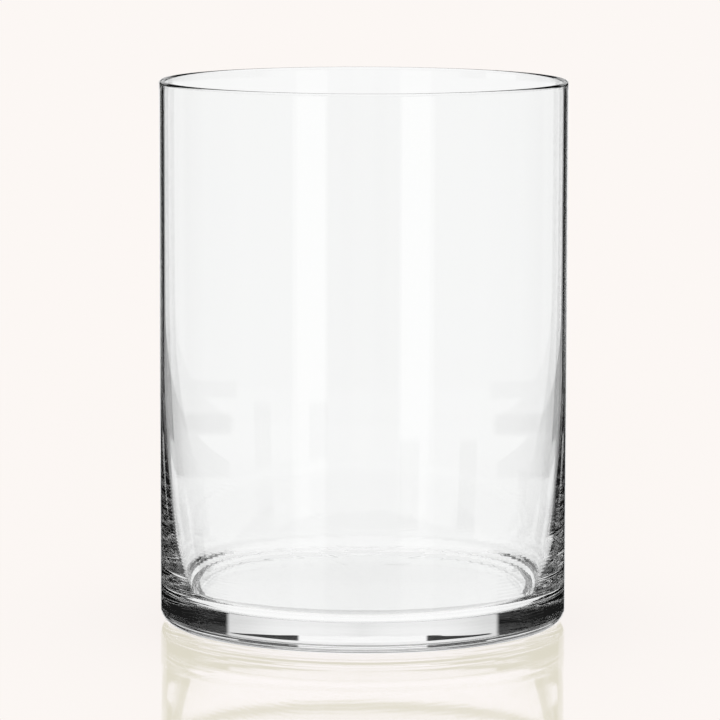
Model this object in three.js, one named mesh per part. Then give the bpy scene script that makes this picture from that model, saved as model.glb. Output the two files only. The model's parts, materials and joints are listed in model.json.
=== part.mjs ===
// A clear glass cylinder vase for cut flowers: one thick-based tumbler of glass, open at the top.
// Millimetres, +Z up. The origin is the middle of the underside, on the surface the vase stands on.
import * as THREE from "three";

// ---- Driving dimensions ----

const HEIGHT = 203.2; // foot to top of the lip
const OUTER_DIAMETER = 152.4; // the outside is a true cylinder from heel to lip
const LIP_WALL = 2.1; // thickness of the wall where it is thinnest, at the lip
const HEEL_SWELL = 6; // how much thicker the wall is where it meets the floor
const SWELL_HEIGHT = 27.5; // climbing this far above the floor cuts the swell to 37 %
const FLOOR_THICKNESS = 10.5; // foot to inside floor
const INNER_CORNER = 7; // radius of the fillet between inside wall and floor
const OUTER_HEEL = 5; // radius of the rounded bottom edge
const FOOT_RING_WIDTH = 6; // flat ring that the vase stands on, inside the heel
const PUSH_UP = 0.3; // depth of the hollow inside the foot ring
const PUSH_UP_SHOULDER = 8; // width of the slope from the foot ring into the hollow

// ---- How finely the curves are faceted ----

const SIDES = 96; // facets round the vase
const WALL_STEPS = 18; // rings of facets up the inside wall
const CORNER_STEPS = 5; // rings of facets in each rounded corner
const LIP_STEPS = 6; // rings of facets over the lip
const SHOULDER_STEPS = 4; // rings of facets down the push-up's slope
const LEAN_PASSES = 8; // rounds of the search for the place where fillet and wall touch

const GLASS = new THREE.MeshStandardMaterial({
  color: 0xf2f6f5,
  roughness: 0.02,
  metalness: 0,
  transparent: true,
  opacity: 0.3,
});

const outerRadius = OUTER_DIAMETER / 2;

/** Thickness of the wall at height z: the lip's thickness plus a swell that dies away up the wall. */
function wallAt(z) {
  return LIP_WALL + HEEL_SWELL * Math.exp((FLOOR_THICKNESS - z) / SWELL_HEIGHT);
}

/** Radius of the inside wall at height z. */
function insideRadius(z) {
  return outerRadius - wallAt(z);
}

/** How far the inside wall leans outwards at height z, as an angle from the vertical. */
function leanAt(z) {
  const slope = (wallAt(z) - LIP_WALL) / SWELL_HEIGHT;
  return Math.atan(slope);
}

/** The fillet between the floor and the leaning wall: its centre, and where and how it meets the wall. */
function innerFillet() {
  const centreHeight = FLOOR_THICKNESS + INNER_CORNER;
  let lean = 0;
  for (let pass = 0; pass < LEAN_PASSES; pass += 1) {
    lean = leanAt(centreHeight - INNER_CORNER * Math.sin(lean));
  }
  const touchHeight = centreHeight - INNER_CORNER * Math.sin(lean);
  const centreRadius = insideRadius(touchHeight) - INNER_CORNER * Math.cos(lean);
  return { centreRadius, centreHeight, touchHeight, lean };
}

/** Points on a circular arc, from one angle to another, both ends included. */
function arc(centreRadius, centreHeight, radius, fromAngle, toAngle, steps) {
  const clockwise = toAngle < fromAngle;
  const curve = new THREE.ArcCurve(centreRadius, centreHeight, radius, fromAngle, toAngle, clockwise);
  return curve.getPoints(steps);
}

/** The slope from the foot ring up into the push-up, flat at both ends. */
function pushUpShoulder() {
  const ringInside = outerRadius - OUTER_HEEL - FOOT_RING_WIDTH;
  const hollowEdge = ringInside - PUSH_UP_SHOULDER;
  const middle = (ringInside + hollowEdge) / 2;
  const slope = new THREE.CubicBezierCurve(
    new THREE.Vector2(hollowEdge, PUSH_UP),
    new THREE.Vector2(middle, PUSH_UP),
    new THREE.Vector2(middle, 0),
    new THREE.Vector2(ringInside, 0),
  );
  return slope.getPoints(SHOULDER_STEPS);
}

/** The inside wall from the lip down to the fillet, in rings that close up where the wall curves most. */
function insideWall(topHeight, bottomHeight) {
  const points = [];
  for (let step = 1; step < WALL_STEPS; step += 1) {
    const share = 1 - step / WALL_STEPS;
    const z = bottomHeight + (topHeight - bottomHeight) * share * share;
    points.push(new THREE.Vector2(insideRadius(z), z));
  }
  return points;
}

/** Half of the vase's section: along the underside, up the outside, over the lip and down to the floor. */
function section() {
  const lipRadius = LIP_WALL / 2;
  const lipHeight = HEIGHT - lipRadius;
  const fillet = innerFillet();
  return [
    new THREE.Vector2(0, PUSH_UP),
    ...pushUpShoulder(),
    ...arc(outerRadius - OUTER_HEEL, OUTER_HEEL, OUTER_HEEL, -Math.PI / 2, 0, CORNER_STEPS),
    ...arc(outerRadius - lipRadius, lipHeight, lipRadius, 0, Math.PI, LIP_STEPS),
    ...insideWall(lipHeight, fillet.touchHeight),
    ...arc(fillet.centreRadius, fillet.centreHeight, INNER_CORNER, -fillet.lean, -Math.PI / 2, CORNER_STEPS),
    new THREE.Vector2(0, FLOOR_THICKNESS),
  ];
}

/** The vase, turned about the lathe's Y axis and then stood up along Z. */
function glassVase() {
  const geometry = new THREE.LatheGeometry(section(), SIDES);
  geometry.rotateX(Math.PI / 2);
  const vase = new THREE.Mesh(geometry, GLASS);
  vase.name = "glass_vase";
  return vase;
}

const cylinderVase = new THREE.Group();
cylinderVase.add(glassVase());

export default cylinderVase;
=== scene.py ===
# %% [markdown]
# # A clear glass cylinder vase
#
# The real object is one piece of clear glass: a straight tube with a heavy base, drawn in one with it.
# There is nothing to assemble, so the whole lesson is about one skin. The skin has to be exact, because
# glass shows no colour of its own. What is seen is the light behind it, bent by the shape of both faces of
# the wall.
#
# The design comes from the CAD model, loaded first. It fixes the size and the place. The faceted CAD solid
# is then stood for by a fine, smooth skin with the same section.

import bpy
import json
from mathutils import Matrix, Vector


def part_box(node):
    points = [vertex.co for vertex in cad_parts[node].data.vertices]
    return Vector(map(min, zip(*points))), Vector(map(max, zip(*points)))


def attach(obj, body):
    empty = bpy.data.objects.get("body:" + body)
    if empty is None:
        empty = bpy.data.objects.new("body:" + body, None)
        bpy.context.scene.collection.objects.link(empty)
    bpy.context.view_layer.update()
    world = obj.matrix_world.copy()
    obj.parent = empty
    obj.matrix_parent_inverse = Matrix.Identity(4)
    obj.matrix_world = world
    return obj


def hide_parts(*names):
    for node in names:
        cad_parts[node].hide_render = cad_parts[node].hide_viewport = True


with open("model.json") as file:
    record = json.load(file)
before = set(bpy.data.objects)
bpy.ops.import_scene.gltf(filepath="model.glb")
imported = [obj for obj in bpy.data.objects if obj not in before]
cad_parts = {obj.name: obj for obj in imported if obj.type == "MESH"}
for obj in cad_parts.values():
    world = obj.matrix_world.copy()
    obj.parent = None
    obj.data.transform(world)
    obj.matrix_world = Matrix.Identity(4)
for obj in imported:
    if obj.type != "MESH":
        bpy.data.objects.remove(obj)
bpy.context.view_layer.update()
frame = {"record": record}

# %% [markdown]
# ## Sizes from the frame
#
# The vase's height, its radius and the height of its floor could be typed in again here. They are read from
# the frame instead, so that the fine skin follows the CAD model if its size is changed. Blender's unit is
# the metre, and MM lets the small sizes be written in millimetres.

# %% Read the sizes that the frame holds
import json
import math

import bpy
import numpy as np
from mathutils import Quaternion, Vector

MM = 0.001
VASE_NODE = "glass_vase"

box_low, box_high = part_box(VASE_NODE)
mounts = {mount["name"]: mount for mount in frame["record"]["mounts"]}
height = box_high.z
outer_radius = (box_high.x - box_low.x) / 2
floor_top = mounts["inside_floor"]["pos_m"][2]
print(f"height {height / MM:.1f} mm, radius {outer_radius / MM:.1f} mm, floor {floor_top / MM:.1f} mm")

# %% [markdown]
# ## The wall
#
# The wall of a real vase is thin at the lip and thickens towards the base, because the glass near the base
# is stretched least when the vase is blown. A cylinder with an even wall would be simpler to make, but the
# dark edge that clear glass shows against a light ground is as wide as the wall makes it. So the thickness
# is a formula of the height.

# %% Thickness and lean of the wall
LIP_WALL = 2.1 * MM  # the wall where it is thinnest
HEEL_SWELL = 6 * MM  # how much thicker the wall is where it meets the floor
SWELL_HEIGHT = 27.5 * MM  # climbing this far above the floor cuts the swell to 37 %


def wall_at(z):
    """Wall thickness at height z: the lip's wall plus swell * exp(-climb / swell height)."""
    return LIP_WALL + HEEL_SWELL * np.exp((floor_top - z) / SWELL_HEIGHT)


def lean_at(z):
    """Angle of the inside wall from the vertical at height z: the arctangent of the swell's slope."""
    return np.arctan((wall_at(z) - LIP_WALL) / SWELL_HEIGHT)


print(f"wall {wall_at(height / 2) / MM:.2f} mm at mid height, {wall_at(floor_top) / MM:.2f} at the floor")

# %% [markdown]
# ## The section
#
# A vase like this could be made by spinning a curve, or as a cylinder that is hollowed by a boolean.
# Spinning is right, because the real one is turned in its mould. Here the section is worked out as an array
# of points instead of drawn, so that every stretch can be made as fine as its optics need: a flat wall
# needs few rings, while the rounded lip, the corner inside and the heel outside are lenses.

# %% Stretches that a section is joined from


def arc(centre_r, centre_z, radius, start, end, steps):
    """Points (r, z) = centre + radius * (cos a, sin a), with a going evenly from start to end."""
    angle = np.linspace(start, end, steps + 1)
    return np.stack([centre_r + radius * np.cos(angle), centre_z + radius * np.sin(angle)], axis=1)


def line(start, end, steps):
    """Points evenly spaced on the straight line from start to end: start * (1 - share) + end * share."""
    share = np.linspace(0, 1, steps + 1)[:, None]
    return np.array(start) * (1 - share) + np.array(end) * share


def smooth_slope(start, end, steps):
    """A slope that is level at both ends: r runs evenly and z follows 3 s^2 - 2 s^3 from start to end."""
    share = np.linspace(0, 1, steps + 1)
    ease = share * share * (3 - 2 * share)
    r = start[0] + (end[0] - start[0]) * share
    z = start[1] + (end[1] - start[1]) * ease
    return np.stack([r, z], axis=1)


print("an arc of 4 steps has", len(arc(0, 0, LIP_WALL, 0, math.pi, 4)), "points")

# %% [markdown]
# ## The rounded corner inside
#
# Where the inside wall meets the floor, the real glass has a round corner. It could be bevelled afterwards,
# but the wall leans there, so the round has to start at the lean that the wall has at that height. The two
# depend on each other. A few passes of trying, measuring and trying again settle them.

# %% Inside wall and inside corner
INNER_CORNER = 7 * MM
LEAN_PASSES = 8
CROWDING = 1.6  # above 1, the rings of the inside wall lie closer together towards the floor


def inner_corner_touch():
    """Where the inside corner's round meets the leaning wall: its centre, the touching height, the lean."""
    centre_z = floor_top + INNER_CORNER
    lean = 0.0
    for _ in range(LEAN_PASSES):
        lean = float(lean_at(centre_z - INNER_CORNER * math.sin(lean)))
    touch_z = centre_z - INNER_CORNER * math.sin(lean)
    centre_r = outer_radius - float(wall_at(touch_z)) - INNER_CORNER * math.cos(lean)
    return centre_r, centre_z, touch_z, lean


def inside_wall(top, bottom, steps):
    """Points (outer radius - wall(z), z) between two heights: z = bottom + (top - bottom) * s^crowding."""
    share = 1 - np.linspace(0, 1, steps + 1)[1:-1]
    z = bottom + (top - bottom) * share ** CROWDING
    return np.stack([outer_radius - wall_at(z), z], axis=1)


corner_r, corner_z, touch_z, lean = inner_corner_touch()
print(f"corner meets wall {touch_z / MM:.2f} mm up, where it leans {math.degrees(lean):.2f} degrees")

# %% [markdown]
# ## All the way round
#
# The section runs from the middle of the underside out over the foot ring, up the outside, over the lip and
# down the inside to the middle of the floor. Smooth shading blends the direction of neighbouring faces. On
# glass that shows at once: where a long flat face meets a round, the flat looks bent. A ring held close
# beside each bend keeps the blend inside a tenth of a millimetre.

# %% The whole section
OUTER_HEEL = 5 * MM
FOOT_RING_WIDTH = 6 * MM
PUSH_UP = 0.3 * MM  # how far the underside inside the foot ring is hollowed
PUSH_UP_SHOULDER = 8 * MM
HOLD = 0.1 * MM  # how close beside each bend its holding ring lies
FLAT_STEPS, FOOT_RING_STEPS, TUBE_STEPS, WALL_STEPS = 4, 2, 8, 110
SHOULDER_STEPS, HEEL_STEPS, LIP_STEPS, CORNER_STEPS = 16, 20, 20, 24


def vase_section():
    """All the stretches end to end as an array of (r, z), without the two points on the axis."""
    lip_round = LIP_WALL / 2
    lip_z = height - lip_round
    ring_outside = outer_radius - OUTER_HEEL
    ring_inside = ring_outside - FOOT_RING_WIDTH
    hollow_edge = ring_inside - PUSH_UP_SHOULDER
    return np.concatenate([
        line((0, PUSH_UP), (hollow_edge - HOLD, PUSH_UP), FLAT_STEPS)[1:],
        smooth_slope((hollow_edge, PUSH_UP), (ring_inside, 0), SHOULDER_STEPS),
        line((ring_inside + HOLD, 0), (ring_outside - HOLD, 0), FOOT_RING_STEPS),
        arc(ring_outside, OUTER_HEEL, OUTER_HEEL, -math.pi / 2, 0, HEEL_STEPS),
        line((outer_radius, OUTER_HEEL + HOLD), (outer_radius, lip_z - HOLD), TUBE_STEPS),
        arc(outer_radius - lip_round, lip_z, lip_round, 0, math.pi, LIP_STEPS),
        inside_wall(lip_z, lip_z - 2 * HOLD, 2),  # the one ring that holds the lip
        inside_wall(lip_z - HOLD, touch_z, WALL_STEPS),
        arc(corner_r, corner_z, INNER_CORNER, -lean, -math.pi / 2, CORNER_STEPS),
        line((corner_r - HOLD, floor_top), (0, floor_top), FLAT_STEPS)[:-1],
    ])


section = vase_section()
print(f"section of {len(section)} points")

# %% [markdown]
# ## Turning the section into a skin
#
# The skin is a function of two parameters: how far along the section, and the angle round the axis. Both
# poles are closed with a fan of triangles, so the glass is one watertight body. A renderer needs that,
# because it has to know when a ray is inside the glass.

# %% Points and faces of a turned skin
SIDES = 448


def turned_skin(points, sides):
    """Vertices (r cos a, r sin a, z) on a grid of section points by angles, plus one at each pole."""
    angle = np.arange(sides) * (2 * math.pi / sides)
    r, z = points[:, :1], points[:, 1:]
    level = np.broadcast_to(z, (len(points), sides))
    ring = np.stack([r * np.cos(angle), r * np.sin(angle), level], axis=-1)
    poles = np.array([[0, 0, points[0, 1]], [0, 0, points[-1, 1]]])
    return np.concatenate([ring.reshape(-1, 3), poles])


def skin_faces(rings, sides):
    """Quads between neighbouring rings and a fan round each pole, all wound to face outwards."""
    column = np.arange(sides)
    following = (column + 1) % sides
    row = np.arange(rings - 1)[:, None] * sides
    corners = [row + column, row + following, row + sides + following, row + sides + column]
    quads = np.stack(corners, axis=-1)
    below, above = rings * sides, rings * sides + 1
    last = (rings - 1) * sides
    bottom_fan = np.stack([np.full(sides, below), following, column], axis=-1)
    top_fan = np.stack([np.full(sides, above), last + column, last + following], axis=-1)
    return quads.reshape(-1, 4).tolist() + bottom_fan.tolist() + top_fan.tolist()


vertices = turned_skin(section, SIDES)
faces = skin_faces(len(section), SIDES)
print(f"{len(vertices)} vertices, {len(faces)} faces")

# %% [markdown]
# ## The vase as an object
#
# Arrays become a mesh in one call. The object stays at the origin, unturned and unscaled, and its place is
# in its mesh, as it is for the CAD solid that it stands for. All faces are shaded smooth, because the real
# vase has no crease anywhere.

# %% Make the vase


def skin_object(name, vertices, faces):
    """A smooth-shaded mesh object at the origin."""
    mesh = bpy.data.meshes.new(name)
    mesh.from_pydata(vertices, [], faces)
    mesh.polygons.foreach_set("use_smooth", np.ones(len(mesh.polygons), bool))
    mesh.update()
    made = bpy.data.objects.new(name, mesh)
    bpy.context.scene.collection.objects.link(made)
    return made


vase = skin_object("vase_glass", vertices, faces)
triangles = sum(len(face.vertices) - 2 for face in vase.data.polygons)
print(f"{vase.name}: {triangles} triangles")

# %% [markdown]
# ## Two helpers for node trees
#
# The glass, the table and the studio are all node trees with sums in them. Each sum could be added and
# linked by hand, at four lines a node. Two small helpers do it in one, so that a formula in nodes reads as
# a formula.

# %% Helpers for node trees


def math_node(tree, operation, a, b=None, c=None):
    """A Math node whose inputs are numbers or sockets; returns its output."""
    node = tree.nodes.new("ShaderNodeMath")
    node.operation = operation
    for socket, value in zip(node.inputs, (a, b, c)):
        if value is None:
            continue
        if isinstance(value, (int, float)):
            socket.default_value = value
        else:
            tree.links.new(value, socket)
    return node.outputs[0]


def smooth_step(tree, value, low, high):
    """0 below low, 1 above high and an S-curve between; with low above high it falls instead."""
    node = tree.nodes.new("ShaderNodeMapRange")
    node.interpolation_type = "SMOOTHSTEP"
    tree.links.new(value, node.inputs["Value"])
    node.inputs["From Min"].default_value = min(low, high)
    node.inputs["From Max"].default_value = max(low, high)
    node.inputs["To Min"].default_value = 0 if low < high else 1
    node.inputs["To Max"].default_value = 1 if low < high else 0
    return node.outputs["Result"]


print("helpers ready: math_node, smooth_step")

# %% [markdown]
# ## Chill ripples in the heel
#
# The lower wall of a moulded vase has very fine level ripples, left where the hot glass first met the cold
# mould. They are far too shallow to feel and show only as light streaks in the dark edge. Real geometry for
# them would need hundreds more rings, so they are a bump: a sine of the height, bent by slow noise so that
# the lines wander, and faded out above the heel.

# %% Ripple pattern
RIPPLE_TOP = 66 * MM  # no ripples above this height
RIPPLE_FULL = 50 * MM  # full depth below this height
RIPPLE_PITCH = 1.25 * MM
RIPPLE_DRIFT = 34 * MM  # size of the slow bends in the lines
RIPPLE_BENDS = 26  # how far the noise shifts the lines, in radians of the sine
RIPPLE_DETAIL = 1


def heel_ripples(tree):
    """Height of the chill ripples: sin(2 pi z / pitch + bends * noise), fading out above the heel."""
    coordinates = tree.nodes.new("ShaderNodeTexCoord")
    noise = tree.nodes.new("ShaderNodeTexNoise")
    noise.inputs["Scale"].default_value = 1 / RIPPLE_DRIFT
    noise.inputs["Detail"].default_value = RIPPLE_DETAIL
    tree.links.new(coordinates.outputs["Object"], noise.inputs["Vector"])
    split = tree.nodes.new("ShaderNodeSeparateXYZ")
    tree.links.new(coordinates.outputs["Object"], split.inputs[0])
    z = split.outputs[2]
    turns = math_node(tree, "MULTIPLY", z, 2 * math.pi / RIPPLE_PITCH)
    phase = math_node(tree, "MULTIPLY_ADD", noise.outputs["Fac"], RIPPLE_BENDS, turns)
    wave = math_node(tree, "SINE", phase)
    fade = smooth_step(tree, z, RIPPLE_TOP, RIPPLE_FULL)
    return math_node(tree, "MULTIPLY", wave, fade)


print(f"about {RIPPLE_TOP / RIPPLE_PITCH:.0f} ripples, one above the other")

# %% [markdown]
# ## Clear glass
#
# Soda-lime glass bends light by 1.52 and swallows next to none of it in a few millimetres. A Glass shader
# would do, and so does the Principled shader with full transmission and no roughness. Principled is used
# because it is also what other programs read when the model is exported. The tint is almost white: the
# green of window glass comes from iron, and vases are made of glass with little of it.

# %% Glass
GLASS_IOR = 1.52
GLASS_TINT = (0.995, 0.998, 0.996, 1)
RIPPLE_DEPTH = 0.0007 * MM


def clear_glass():
    """Clear glass: all transmission, no roughness, with ripples in the heel."""
    material = bpy.data.materials.new("clear_soda_lime_glass")
    material.use_nodes = True
    tree = material.node_tree
    shader = tree.nodes["Principled BSDF"]
    shader.inputs["Base Color"].default_value = GLASS_TINT
    shader.inputs["Roughness"].default_value = 0
    shader.inputs["IOR"].default_value = GLASS_IOR
    shader.inputs["Transmission Weight"].default_value = 1
    bump = tree.nodes.new("ShaderNodeBump")
    bump.inputs["Distance"].default_value = RIPPLE_DEPTH
    tree.links.new(heel_ripples(tree), bump.inputs["Height"])
    tree.links.new(bump.outputs["Normal"], shader.inputs["Normal"])
    return material


vase.data.materials.append(clear_glass())
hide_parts(VASE_NODE)
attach(vase, "root")
print("the vase is made of", vase.data.materials[0].name)

# %% [markdown]
# ## Camera
#
# A vase is best shown from well back through a long lens, a little above the rim, so that both ellipses
# show and the sides stay nearly upright. A short lens close by would flare the sides. The camera is placed
# by plain numbers: how far, how high, and how much it looks down.

# %% Camera
CAMERA_AZIMUTH = math.radians(0)
CAMERA_DISTANCE = 1.715
CAMERA_HEIGHT = 0.318
CAMERA_PITCH = math.radians(7.308)
CAMERA_ROLL = math.radians(0.13)
CAMERA_LENS = 230.6  # millimetres
CAMERA_SENSOR = 36  # millimetres
CAMERA_SHIFT = -0.0045

camera_data = bpy.data.cameras.new("camera")
camera_data.lens = CAMERA_LENS
camera_data.sensor_width = CAMERA_SENSOR
camera_data.shift_x = CAMERA_SHIFT
camera = bpy.data.objects.new("camera", camera_data)
towards_camera = Vector((math.sin(CAMERA_AZIMUTH), -math.cos(CAMERA_AZIMUTH), 0))
camera.location = towards_camera * CAMERA_DISTANCE + Vector((0, 0, CAMERA_HEIGHT))
look = -towards_camera * math.cos(CAMERA_PITCH) - Vector((0, 0, math.sin(CAMERA_PITCH)))
roll = Quaternion((0, 0, 1), CAMERA_ROLL)
camera.rotation_euler = (look.to_track_quat("-Z", "Y") @ roll).to_euler()
bpy.context.scene.collection.objects.link(camera)
bpy.context.scene.camera = camera
print("camera at", tuple(round(part, 3) for part in camera.location))

# %% [markdown]
# ## A studio painted by direction
#
# Clear glass is shown by bright-field light: a bright backdrop straight behind, black boards beside it that
# the curved sides bend into view as dark edges, and light strips behind the camera that reflect as pale
# bars. Boards and lamps could be modelled round the vase. Here they are painted on the world by direction
# instead, one board over another. That keeps them out of the frame, and an edge can be set to a tenth of a
# degree.

# %% Tools to paint the studio with
EDGE = 0.4  # degrees over which the edge of a board turns from light to dark
TABLE_LEVEL = 0.98  # the lit table, which is what no board covers


class Studio:
    """Light by direction from the vase, painted board over board. Angles are in degrees."""

    def __init__(self, tree):
        self.tree = tree
        coordinates = tree.nodes.new("ShaderNodeTexCoord")
        split = tree.nodes.new("ShaderNodeSeparateXYZ")
        tree.links.new(coordinates.outputs["Generated"], split.inputs[0])
        self.x, self.y, z = split.outputs[0], split.outputs[1], split.outputs[2]
        within = math_node(tree, "MINIMUM", math_node(tree, "MAXIMUM", z, -1.0), 1.0)
        self.elevation = math_node(tree, "DEGREES", math_node(tree, "ARCSINE", within))
        self.level = math_node(tree, "ADD", TABLE_LEVEL, 0.0)

    def away(self, azimuth):
        """Level angle, without a sign, from the direction that a camera at that azimuth looks in."""
        tree = self.tree
        sine, cosine = math.sin(math.radians(azimuth)), math.cos(math.radians(azimuth))
        ahead = math_node(tree, "MULTIPLY_ADD", self.y, cosine, math_node(tree, "MULTIPLY", self.x, -sine))
        right = math_node(tree, "MULTIPLY_ADD", self.y, sine, math_node(tree, "MULTIPLY", self.x, cosine))
        signed = math_node(tree, "DEGREES", math_node(tree, "ARCTAN2", right, ahead))
        return math_node(tree, "ABSOLUTE", signed)

    def between(self, angle, near, far, edge=EDGE):
        """1 from near to far, either of which may be a socket, and 0 outside."""
        tree = self.tree
        rise = smooth_step(tree, math_node(tree, "SUBTRACT", angle, near), -edge / 2, edge / 2)
        fall = smooth_step(tree, math_node(tree, "SUBTRACT", far, angle), -edge / 2, edge / 2)
        return math_node(tree, "MULTIPLY", rise, fall)

    def paint(self, level, angle, near, far, low, high, edge=EDGE, lift_edge=EDGE):
        """Lay a board of one level over what is there, from near to far and from low to high."""
        tree = self.tree
        board = math_node(tree, "MULTIPLY", self.between(angle, near, far, edge),
                          self.between(self.elevation, low, high, lift_edge))
        change = math_node(tree, "SUBTRACT", level, self.level)
        self.level = math_node(tree, "MULTIPLY_ADD", change, board, self.level)


print("the table glows at", TABLE_LEVEL)

# %% [markdown]
# ## The room
#
# Round the table is a room that is a little dimmer than the table, with a dark band above it and a bright
# ceiling. Two upright light strips stand behind the camera, one on each side. Only a twenty-fifth of their
# light is reflected by the glass, which is why they have to be the brightest things in the room.

# %% Room, strips and ceiling
AHEAD, BEHIND = -1, 181  # just past straight ahead and straight behind, so that no edge falls there
ROOM_FOOT, ROOM_TOP = -10.6, -3.4  # where the table ends and where the dark band starts
CEILING_FOOT, CEILING_TOP = 34.0, 91  # 91 is just past straight up
SIDE_NEAR, SIDE_LEVEL = 45, 0.74
BEHIND_NEAR, BEHIND_LEVEL = 159, 0.68
TALL_NEAR, TALL_TOP = 120, 1.0  # the room is taller behind the camera
TABLE_SIDE_NEAR, TABLE_SIDE_FOOT, TABLE_SIDE_TOP, TABLE_SIDE_LEVEL = 55, -32, -12.8, 0.68
STRIP_LEVEL = 1.10
STRIP_NEAR, STRIP_FAR, STRIP_FOOT = 139.8, 158.5, -24.0
CEILING_LEVEL = 0.85
DARK = 0.012
OVERLAP = 0.3  # how far the taller part reaches down over the rest
ROOM_EDGE = 0.6


def paint_room(studio, ahead):
    """The table's far sides, the room above its edge, the dark band, and the ceiling."""
    tall_foot = ROOM_TOP - OVERLAP
    studio.paint(TABLE_SIDE_LEVEL, ahead, TABLE_SIDE_NEAR, BEHIND, TABLE_SIDE_FOOT, TABLE_SIDE_TOP,
                 edge=16, lift_edge=2)
    studio.paint(SIDE_LEVEL, ahead, SIDE_NEAR, BEHIND, ROOM_FOOT, ROOM_TOP, edge=8, lift_edge=ROOM_EDGE)
    studio.paint(BEHIND_LEVEL, ahead, BEHIND_NEAR, BEHIND, ROOM_FOOT, ROOM_TOP, edge=2, lift_edge=ROOM_EDGE)
    studio.paint(STRIP_LEVEL, ahead, STRIP_NEAR, STRIP_FAR, STRIP_FOOT, ROOM_TOP,
                 edge=1, lift_edge=ROOM_EDGE)
    studio.paint(DARK, ahead, AHEAD, BEHIND, ROOM_TOP, CEILING_FOOT, edge=1, lift_edge=ROOM_EDGE)
    studio.paint(SIDE_LEVEL, ahead, TALL_NEAR, BEHIND, tall_foot, TALL_TOP, edge=8, lift_edge=ROOM_EDGE)
    studio.paint(STRIP_LEVEL, ahead, STRIP_NEAR, STRIP_FAR, tall_foot, TALL_TOP, edge=1, lift_edge=ROOM_EDGE)
    studio.paint(CEILING_LEVEL, ahead, AHEAD, BEHIND, CEILING_FOOT, CEILING_TOP, edge=1, lift_edge=6)


print(f"strips {STRIP_FAR - STRIP_NEAR:.1f} degrees wide, {STRIP_LEVEL / SIDE_LEVEL:.1f} times the room")

# %% [markdown]
# ## Backdrop and panel
#
# The bright backdrop is what is seen through the whole body of the vase. A wide, softer panel stands above
# it, with a thin dark gap between. The heavy base turns light upwards inside itself by total reflection, so
# the middle of the base shows that panel, and the gap shows as fine dark lines along the foot.

# %% Backdrop and panel
BACKDROP_HALF = 12.4
BACKDROP_FOOT, BACKDROP_TOP = -40, 3.6
BACKDROP_LEVEL = 0.968
TUCK = 2  # how far the backdrop reaches under the wings
PANEL_FOOT, PANEL_TOP = 4.8, 16
PANEL_HALF, PANEL_SHOULDER = 30.5, 22.0
PANEL_LEVEL, PANEL_SIDE = 0.87, 0.7


def paint_backdrop(studio, ahead):
    """A panel that fades to its sides, and the backdrop below it."""
    studio.paint(PANEL_SIDE, ahead, AHEAD, PANEL_HALF, PANEL_FOOT, PANEL_TOP, edge=2)
    studio.paint(PANEL_LEVEL, ahead, AHEAD, PANEL_SHOULDER, PANEL_FOOT, PANEL_TOP, edge=14)
    studio.paint(BACKDROP_LEVEL, ahead, AHEAD, BACKDROP_HALF + TUCK, BACKDROP_FOOT, BACKDROP_TOP)


print(f"backdrop {2 * BACKDROP_HALF:.1f} degrees wide, gap {PANEL_FOOT - BACKDROP_TOP:.1f} degrees high")

# %% [markdown]
# ## Black wings
#
# Without black boards a clear vase on a light ground would have no outline. The sides of the tube bend the
# view outwards, past the edge of the backdrop, and what stands there is what the outline shows. The wings
# start at the backdrop's edge and spread towards the table, because the thick heel bends the view furthest.

# %% Wings beside the backdrop
WING_FAR, WING_SPREAD, WING_POWER, WING_BEND = 27.0, 6.5, 1.4, -7.4
WING_FOOT, WING_TOP, WING_WIDEST = -11.2, 3, 96.0
LOW_WING_FOOT, LOW_WING_NEAR, LOW_WING_SPREAD, LOW_WING_BEND = -14, 24.0, 5.0, 10.3
SKIRT_NEAR, SKIRT_FAR, SKIRT_FOOT, SKIRT_TOP = 18.0, 34.0, -21.0, -10.8
TABLE_EDGE_NEAR, TABLE_EDGE_FAR, TABLE_EDGE_TOP = 40, 98, -10.2


def paint_wings(studio, ahead):
    """Wings out to far + spread * (down + bend)^power, their lower part, a skirt, the table's edge."""
    tree = studio.tree
    down = math_node(tree, "MULTIPLY", studio.elevation, -1.0)
    drop = math_node(tree, "MAXIMUM", math_node(tree, "ADD", down, WING_BEND), 0.0)
    bent = math_node(tree, "POWER", drop, WING_POWER)
    spread = math_node(tree, "MULTIPLY_ADD", bent, WING_SPREAD, WING_FAR)
    wing_far = math_node(tree, "MINIMUM", spread, WING_WIDEST)
    studio.paint(DARK, ahead, BACKDROP_HALF, wing_far, WING_FOOT, WING_TOP, edge=0.8)
    below = math_node(tree, "SUBTRACT", down, LOW_WING_BEND)
    low_near = math_node(tree, "MULTIPLY_ADD", below, LOW_WING_SPREAD, LOW_WING_NEAR)
    studio.paint(DARK, ahead, low_near, wing_far, LOW_WING_FOOT, WING_FOOT, edge=3, lift_edge=0.3)
    studio.paint(DARK, ahead, SKIRT_NEAR, SKIRT_FAR, SKIRT_FOOT, SKIRT_TOP, edge=3)
    studio.paint(DARK, ahead, TABLE_EDGE_NEAR, TABLE_EDGE_FAR, WING_FOOT, TABLE_EDGE_TOP,
                 edge=3, lift_edge=0.3)


print(f"wings from {BACKDROP_HALF} to {WING_FAR} degrees, and wider below {-WING_BEND} degrees down")

# %% [markdown]
# ## Boards for other places to stand
#
# The studio is built for one camera, but a model is looked at from all round. A smaller backdrop with its
# own pair of black wings stands behind the vase for someone at its side, one for someone behind it, and one
# for someone who looks down on it.

# %% Boards for the other sides
SIDE_WING_FAR = 24
OTHER_VIEWS = ((90, ROOM_TOP, 3), (225, -20, -11.5), (45, -31, -20))  # azimuth, foot and top of the board


def paint_other_views(studio):
    """A backdrop and two wings for each of the other places."""
    for azimuth, low, high in OTHER_VIEWS:
        turned = studio.away(azimuth)
        studio.paint(BACKDROP_LEVEL, turned, AHEAD, BACKDROP_HALF, low, high, edge=1, lift_edge=ROOM_EDGE)
        studio.paint(DARK, turned, BACKDROP_HALF, SIDE_WING_FAR, low, high, edge=1, lift_edge=ROOM_EDGE)


print(len(OTHER_VIEWS), "other places have boards of their own")

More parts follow.
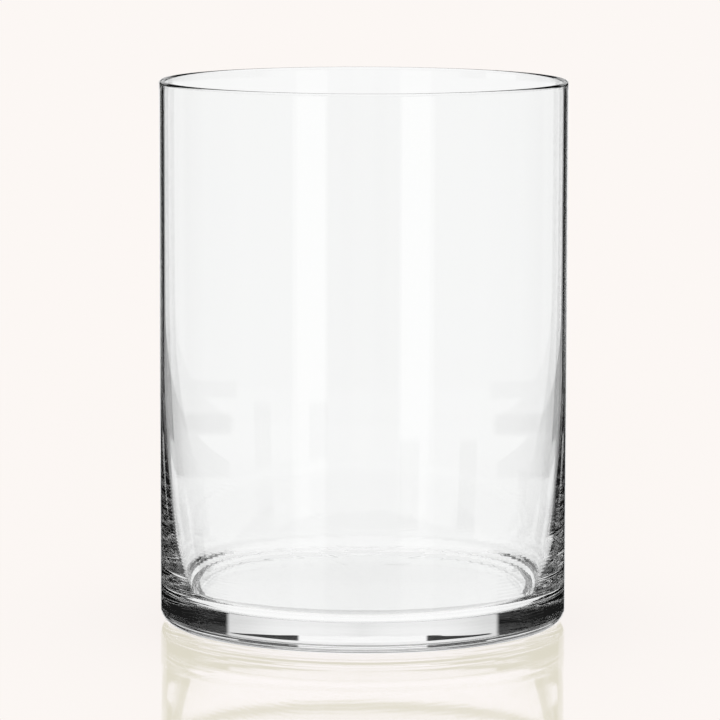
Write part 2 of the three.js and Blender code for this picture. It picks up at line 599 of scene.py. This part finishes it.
# %% [markdown]
# ## The world
#
# The painted studio lights the vase, and it is what the glass bends and reflects. Round the vase, though,
# the camera should see one even cream. A mix that asks whether a ray comes straight from the camera gives
# both. A Background node's colour is grey to start with, so it is set to white and the level goes in as
# strength.

# %% World
CREAM = (0.974, 0.931, 0.905, 1)


def studio_world():
    """A world that is plain cream to the camera and the painted studio to every other ray."""
    world = bpy.data.worlds.new("studio")
    world.use_nodes = True
    tree = world.node_tree
    tree.nodes.clear()
    studio = Studio(tree)
    ahead = studio.away(0)
    paint_room(studio, ahead)
    paint_backdrop(studio, ahead)
    paint_wings(studio, ahead)
    paint_other_views(studio)

    output = tree.nodes.new("ShaderNodeOutputWorld")
    path = tree.nodes.new("ShaderNodeLightPath")
    surroundings = tree.nodes.new("ShaderNodeBackground")
    surroundings.inputs["Color"].default_value = (1, 1, 1, 1)
    tree.links.new(studio.level, surroundings.inputs["Strength"])
    seen = tree.nodes.new("ShaderNodeBackground")
    seen.inputs["Color"].default_value = CREAM
    mix = tree.nodes.new("ShaderNodeMixShader")
    tree.links.new(path.outputs["Is Camera Ray"], mix.inputs[0])
    tree.links.new(surroundings.outputs[0], mix.inputs[1])
    tree.links.new(seen.outputs[0], mix.inputs[2])
    tree.links.new(mix.outputs[0], output.inputs["Surface"])
    return world


bpy.context.scene.world = studio_world()
print("studio of", len(bpy.context.scene.world.node_tree.nodes), "nodes")

# %% [markdown]
# ## The table
#
# The vase stands on a pale, glossy sheet that shows a soft reflection of it. A white diffuse floor would be
# darkened by the room and would not match the cream round it. So the sheet glows with part of the cream and
# reflects the rest, and the two add up to the same cream where it mirrors the panel. Right beside the vase
# the glow is dimmed a little, a painted shade in place of the shadow the vase would cast. It has to show
# only to the camera, or the glass would bend it into view, and it fades out before its rim.

# %% Material of the table
FLOOR_RADIUS = 0.9
FLOOR_SHEEN = (0.26, 0.25, 0.35, 1)
FLOOR_ROUGHNESS = 0.04
# Painted shade: the sheet's glow is dimmed right beside the vase in place of the shadow the vase would cast.
FLOOR_PAINTED_SHADE = 0.05  # how much darker the sheet is right beside the vase
FLOOR_PAINTED_SHADE_REACH = 0.035  # going this far from the vase cuts the shade to 37 %
FADE_OUT, FADE_IN = 0.98, 0.35  # shares of the radius between which the sheet fades


def floor_material():
    """Emission times 1 - painted shade * exp(-distance / reach), plus gloss, fading to nothing at the rim.
    """
    material = bpy.data.materials.new("pale_acrylic")
    material.use_nodes = True
    tree = material.node_tree
    tree.nodes.clear()
    coordinates = tree.nodes.new("ShaderNodeTexCoord")
    split = tree.nodes.new("ShaderNodeSeparateXYZ")
    tree.links.new(coordinates.outputs["Object"], split.inputs[0])
    x, y = split.outputs[0], split.outputs[1]
    square = math_node(tree, "MULTIPLY_ADD", y, y, math_node(tree, "MULTIPLY", x, x))
    radius = math_node(tree, "SQRT", square)
    # The painted shade: the glow's strength falls off with distance from the vase and is darkest at its
    # foot.
    past = math_node(tree, "MAXIMUM", math_node(tree, "SUBTRACT", radius, outer_radius), 0.0)
    fall = math_node(tree, "EXPONENT", math_node(tree, "DIVIDE", past, -FLOOR_PAINTED_SHADE_REACH))
    bright = math_node(tree, "MULTIPLY_ADD", fall, -FLOOR_PAINTED_SHADE, 1.0)
    glow = tree.nodes.new("ShaderNodeEmission")
    own = [cream - sheen * PANEL_LEVEL for cream, sheen in zip(CREAM[:3], FLOOR_SHEEN)]
    glow.inputs["Color"].default_value = (*own, 1)
    tree.links.new(bright, glow.inputs["Strength"])
    gloss = tree.nodes.new("ShaderNodeBsdfGlossy")
    gloss.inputs["Color"].default_value = FLOOR_SHEEN
    gloss.inputs["Roughness"].default_value = FLOOR_ROUGHNESS
    surface = tree.nodes.new("ShaderNodeAddShader")
    tree.links.new(glow.outputs[0], surface.inputs[0])
    tree.links.new(gloss.outputs[0], surface.inputs[1])
    clear = tree.nodes.new("ShaderNodeBsdfTransparent")
    edge = smooth_step(tree, radius, FLOOR_RADIUS * FADE_OUT, FLOOR_RADIUS * FADE_IN)
    faded = tree.nodes.new("ShaderNodeMixShader")
    tree.links.new(edge, faded.inputs[0])
    tree.links.new(clear.outputs[0], faded.inputs[1])
    tree.links.new(surface.outputs[0], faded.inputs[2])
    output = tree.nodes.new("ShaderNodeOutputMaterial")
    tree.links.new(faded.outputs[0], output.inputs["Surface"])
    return material


print("the table's sheen is", FLOOR_SHEEN[:3])

# %% [markdown]
# ## The table's sheet
#
# One flat round face is enough for a sheet that is only looked at. It lies a fifth of a millimetre under
# the foot ring, because two faces in the same plane would flicker. It belongs to the stage and not to the
# vase.

# %% Lay the table
FLOOR_SIDES = 96
FLOOR_DEPTH = 0.0002

floor_angle = np.arange(FLOOR_SIDES) * (2 * math.pi / FLOOR_SIDES)
floor_rim = np.stack([FLOOR_RADIUS * np.cos(floor_angle), FLOOR_RADIUS * np.sin(floor_angle),
                      np.full(FLOOR_SIDES, -FLOOR_DEPTH)], axis=1)
floor = skin_object("floor", floor_rim, [list(range(FLOOR_SIDES))])
floor.data.materials.append(floor_material())
floor.visible_transmission = False
floor.visible_glossy = False
floor.visible_diffuse = False
print(f"table of {2 * FLOOR_RADIUS:.1f} m across")

# %% [markdown]
# ## Light paths
#
# Light that comes through the vase crosses four faces at least, and meets many more in the base. With
# Blender's usual number of bounces those paths end early and the heel turns falsely black, so there are
# more. The plain view transform shows the levels painted above as they are.

# %% Light paths
GLASS_BOUNCES, GLOSS_BOUNCES = 32, 24

scene = bpy.context.scene
scene.view_settings.view_transform = "Standard"
scene.cycles.max_bounces = GLASS_BOUNCES
scene.cycles.transmission_bounces = GLASS_BOUNCES
scene.cycles.glossy_bounces = GLOSS_BOUNCES
print("bounces", scene.cycles.max_bounces)
